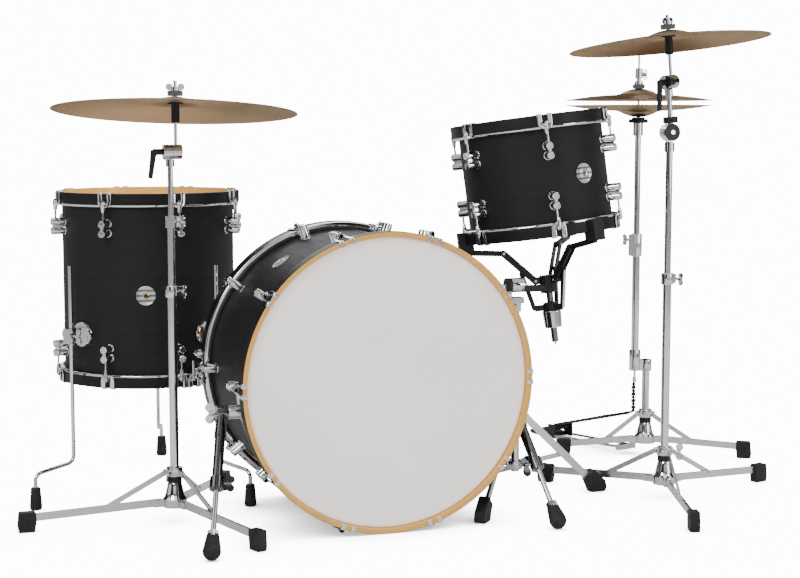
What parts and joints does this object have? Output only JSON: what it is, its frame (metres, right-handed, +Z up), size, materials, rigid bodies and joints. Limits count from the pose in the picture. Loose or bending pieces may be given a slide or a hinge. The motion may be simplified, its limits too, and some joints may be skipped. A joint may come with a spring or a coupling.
{
  "type": "acoustic drum kit",
  "caption": "Acoustic drum kit with a floor-standing bass drum, floor tom, rack tom in a basket stand, ride, crash and pedal hi-hat on flush-base stands.",
  "frame": {"origin": "centre of the kit's footprint on the floor", "axes": "+Z up, +X to the audience's right along the longest side, -Y towards the audience, where the bass drum's front head faces"},
  "size_m": [1.9127, 1.2047, 1.1253],
  "materials": {
    "ebony_shell": "satin lacquer over grain",
    "maple_hoop": "satin, black-stained outside",
    "black_hoop": "satin stain, natural inside",
    "drumhead": "frosted film in a plated rim",
    "chrome": "polished",
    "plated_steel": "satin zinc plate",
    "black_metal": "satin powder coat",
    "dark_chrome": "gloss black nickel",
    "rubber": "matte",
    "bronze": "lathed",
    "felt": "wool felt",
    "badge_metal": "etched"
  },
  "bodies": {
    "drums_and_stands": {"bass_shell": "ebony_shell", "bass_hoops": "maple_hoop", "bass_heads": "drumhead", "floor_tom_shell": "ebony_shell", "floor_tom_hoops": "black_hoop", "floor_tom_heads": "drumhead", "drum_lugs": "chrome", "hoop_claws": "chrome", "tension_rods": "chrome", "shell_badges": "badge_metal", "spur_brackets": "chrome", "floor_tom_leg_brackets": "chrome", "stand_hubs": "chrome", "stand_legs": "plated_steel", "stand_braces": "plated_steel", "stand_feet": "rubber", "stand_collars": "chrome", "stand_lower_tubes": "chrome", "tube_clamps": "chrome", "wing_bolts": "chrome", "hihat_offset_block": "chrome", "pedal_frame": "black_metal"},
    "spur_left": {"spur_tube_left": "dark_chrome"},
    "spur_right": {"spur_tube_right": "dark_chrome"},
    "spur_foot_left": {"spur_rod_left": "chrome"},
    "spur_foot_right": {"spur_rod_right": "chrome"},
    "floor_leg_left": {"floor_tom_leg_left": "chrome"},
    "floor_leg_right": {"floor_tom_leg_right": "chrome"},
    "floor_leg_rear": {"floor_tom_leg_rear": "chrome"},
    "tom_stand_upper": {"tom_stand_tube": "chrome"},
    "rack_tom": {"basket_post": "black_metal", "rack_tom_shell": "ebony_shell", "rack_tom_hoops": "black_hoop", "rack_tom_heads": "drumhead", "rack_tom_lugs": "chrome", "rack_tom_claws": "chrome", "rack_tom_tension_rods": "chrome", "rack_tom_badge": "badge_metal"},
    "arm_left": {"basket_arm_left": "black_metal"},
    "arm_right": {"basket_arm_right": "black_metal"},
    "arm_rear": {"basket_arm_rear": "black_metal"},
    "basket_slider": {"basket_knob": "chrome", "basket_links": "black_metal"},
    "ride_mid": {"ride_mid_tube": "chrome"},
    "ride_upper": {"ride_upper_tube": "chrome"},
    "ride_seat": {"ride_tilter": "chrome", "ride_felts": "felt"},
    "ride": {"ride_cymbal": "bronze"},
    "crash_mid": {"crash_mid_tube": "chrome"},
    "crash_arm": {"crash_boom": "chrome"},
    "crash_seat": {"crash_tilter": "chrome", "crash_felts": "felt"},
    "crash": {"crash_cymbal": "bronze"},
    "hihat_column": {"hihat_upper_tube": "chrome", "hihat_bottom_cymbal": "bronze"},
    "hihat_rod": {"hihat_pull_rod": "chrome", "hihat_chain": "black_metal"},
    "hihat_top": {"hihat_clutch": "chrome", "hihat_top_cymbal": "bronze"},
    "footboard": {"hihat_footboard": "black_metal"}
  },
  "joints": [
    {"name": "spur_left_fold", "type": "hinge", "parent": "drums_and_stands", "child": "spur_left", "pos_m": [-0.542, -0.287, 0.265], "axis": [1, 0, 0], "range_deg": [-50, 0]},
    {"name": "spur_left_length", "type": "slide", "parent": "spur_left", "child": "spur_foot_left", "axis": [0.2075, 0.6134, 0.762], "range_m": [0, 0.05]},
    {"name": "spur_right_fold", "type": "hinge", "parent": "drums_and_stands", "child": "spur_right", "pos_m": [0.128, -0.287, 0.245], "axis": [1, 0, 0], "range_deg": [-50, 0]},
    {"name": "spur_right_length", "type": "slide", "parent": "spur_right", "child": "spur_foot_right", "axis": [-0.1022, 0.6301, 0.7698], "range_m": [0, 0.04]},
    {"name": "floor_leg_left_height", "type": "slide", "parent": "drums_and_stands", "child": "floor_leg_left", "axis": [0, 0, 1], "range_m": [0, 0.12]},
    {"name": "floor_leg_right_height", "type": "slide", "parent": "drums_and_stands", "child": "floor_leg_right", "axis": [0, 0, 1], "range_m": [0, 0.024]},
    {"name": "floor_leg_rear_height", "type": "slide", "parent": "drums_and_stands", "child": "floor_leg_rear", "axis": [0, 0, 1], "range_m": [0, 0.12]},
    {"name": "tom_height", "type": "slide", "parent": "drums_and_stands", "child": "tom_stand_upper", "axis": [0, 0, 1], "range_m": [-0.04, 0.08]},
    {"name": "tom_tilt", "type": "hinge", "parent": "tom_stand_upper", "child": "rack_tom", "pos_m": [0.174, -0.192, 0.506], "axis": [1, 0, 0], "range_deg": [-12, 15]},
    {"name": "basket_arm_left_open", "type": "hinge", "parent": "rack_tom", "child": "arm_left", "pos_m": [0.22375, -0.18463, 0.51284], "axis": [-0.2309, -0.9721, 0.0408], "range_deg": [0, 15]},
    {"name": "basket_arm_right_open", "type": "hinge", "parent": "rack_tom", "child": "arm_right", "pos_m": [0.26125, -0.21998, 0.51947], "axis": [0.9526, 0.2917, 0.0868], "range_deg": [0, 15]},
    {"name": "basket_arm_rear_open", "type": "hinge", "parent": "rack_tom", "child": "arm_rear", "pos_m": [0.27325, -0.16947, 0.51735], "axis": [-0.7216, 0.6804, -0.1276], "range_deg": [0, 15]},
    {"name": "basket_knob_travel", "type": "slide", "parent": "rack_tom", "child": "basket_slider", "axis": [0.1112, -0.068, -0.9915], "range_m": [0, 0.009]},
    {"name": "ride_lower_height", "type": "slide", "parent": "drums_and_stands", "child": "ride_mid", "axis": [0, 0, 1], "range_m": [-0.06, 0.12]},
    {"name": "ride_upper_height", "type": "slide", "parent": "ride_mid", "child": "ride_upper", "axis": [0, 0, 1], "range_m": [-0.06, 0.1]},
    {"name": "ride_tilt", "type": "hinge", "parent": "ride_upper", "child": "ride_seat", "pos_m": [-0.612, -0.135, 0.816], "axis": [-1, 0, 0], "range_deg": [-30, 30]},
    {"name": "ride_spin", "type": "hinge", "parent": "ride_seat", "child": "ride", "pos_m": [-0.604, -0.135, 0.935], "axis": [0.0417, 0.0906, 0.995], "continuous": true},
    {"name": "crash_height", "type": "slide", "parent": "drums_and_stands", "child": "crash_mid", "axis": [0, 0, 1], "range_m": [-0.05, 0.12]},
    {"name": "crash_boom_angle", "type": "hinge", "parent": "crash_mid", "child": "crash_arm", "pos_m": [0.517, -0.278, 0.857], "axis": [0, 1, 0], "range_deg": [-5, 65]},
    {"name": "crash_tilt", "type": "hinge", "parent": "crash_arm", "child": "crash_seat", "pos_m": [0.51129, -0.2825, 0.97194], "axis": [-0.8627, -0.5, -0.0755], "range_deg": [-30, 30]},
    {"name": "crash_spin", "type": "hinge", "parent": "crash_seat", "child": "crash", "pos_m": [0.50791, -0.2785, 1.0901], "axis": [-0.0626, 0.0819, 0.9947], "continuous": true},
    {"name": "hihat_height", "type": "slide", "parent": "drums_and_stands", "child": "hihat_column", "axis": [0, 0, 1], "range_m": [-0.08, 0.03]},
    {"name": "hihat_rod_pull", "type": "slide", "parent": "drums_and_stands", "child": "hihat_rod", "axis": [0, 0, 1], "range_m": [-0.0105, 0], "stiffness_N_per_m": 2500, "springref_m": 0.016},
    {"name": "hihat_clutch_height", "type": "slide", "parent": "hihat_rod", "child": "hihat_top", "axis": [0, 0, 1], "range_m": [-0.08, 0.03]},
    {"name": "hihat_pedal", "type": "hinge", "parent": "drums_and_stands", "child": "footboard", "pos_m": [0.59184, 0.47437, 0.03], "axis": [0.9646, 0.2639, 0], "range_deg": [-3, 0]}
  ],
  "couplings": [
    {"joint": "basket_arm_right_open", "follows": "basket_arm_left_open", "ratio": 1},
    {"joint": "basket_arm_rear_open", "follows": "basket_arm_left_open", "ratio": 1},
    {"joint": "basket_knob_travel", "follows": "basket_arm_left_open", "m_per_rad": 0.032},
    {"joint": "hihat_pedal", "follows": "hihat_rod_pull", "rad_per_m": 3.5},
    {"joint": "hihat_clutch_height", "follows": "hihat_height", "ratio": 1}
  ]
}
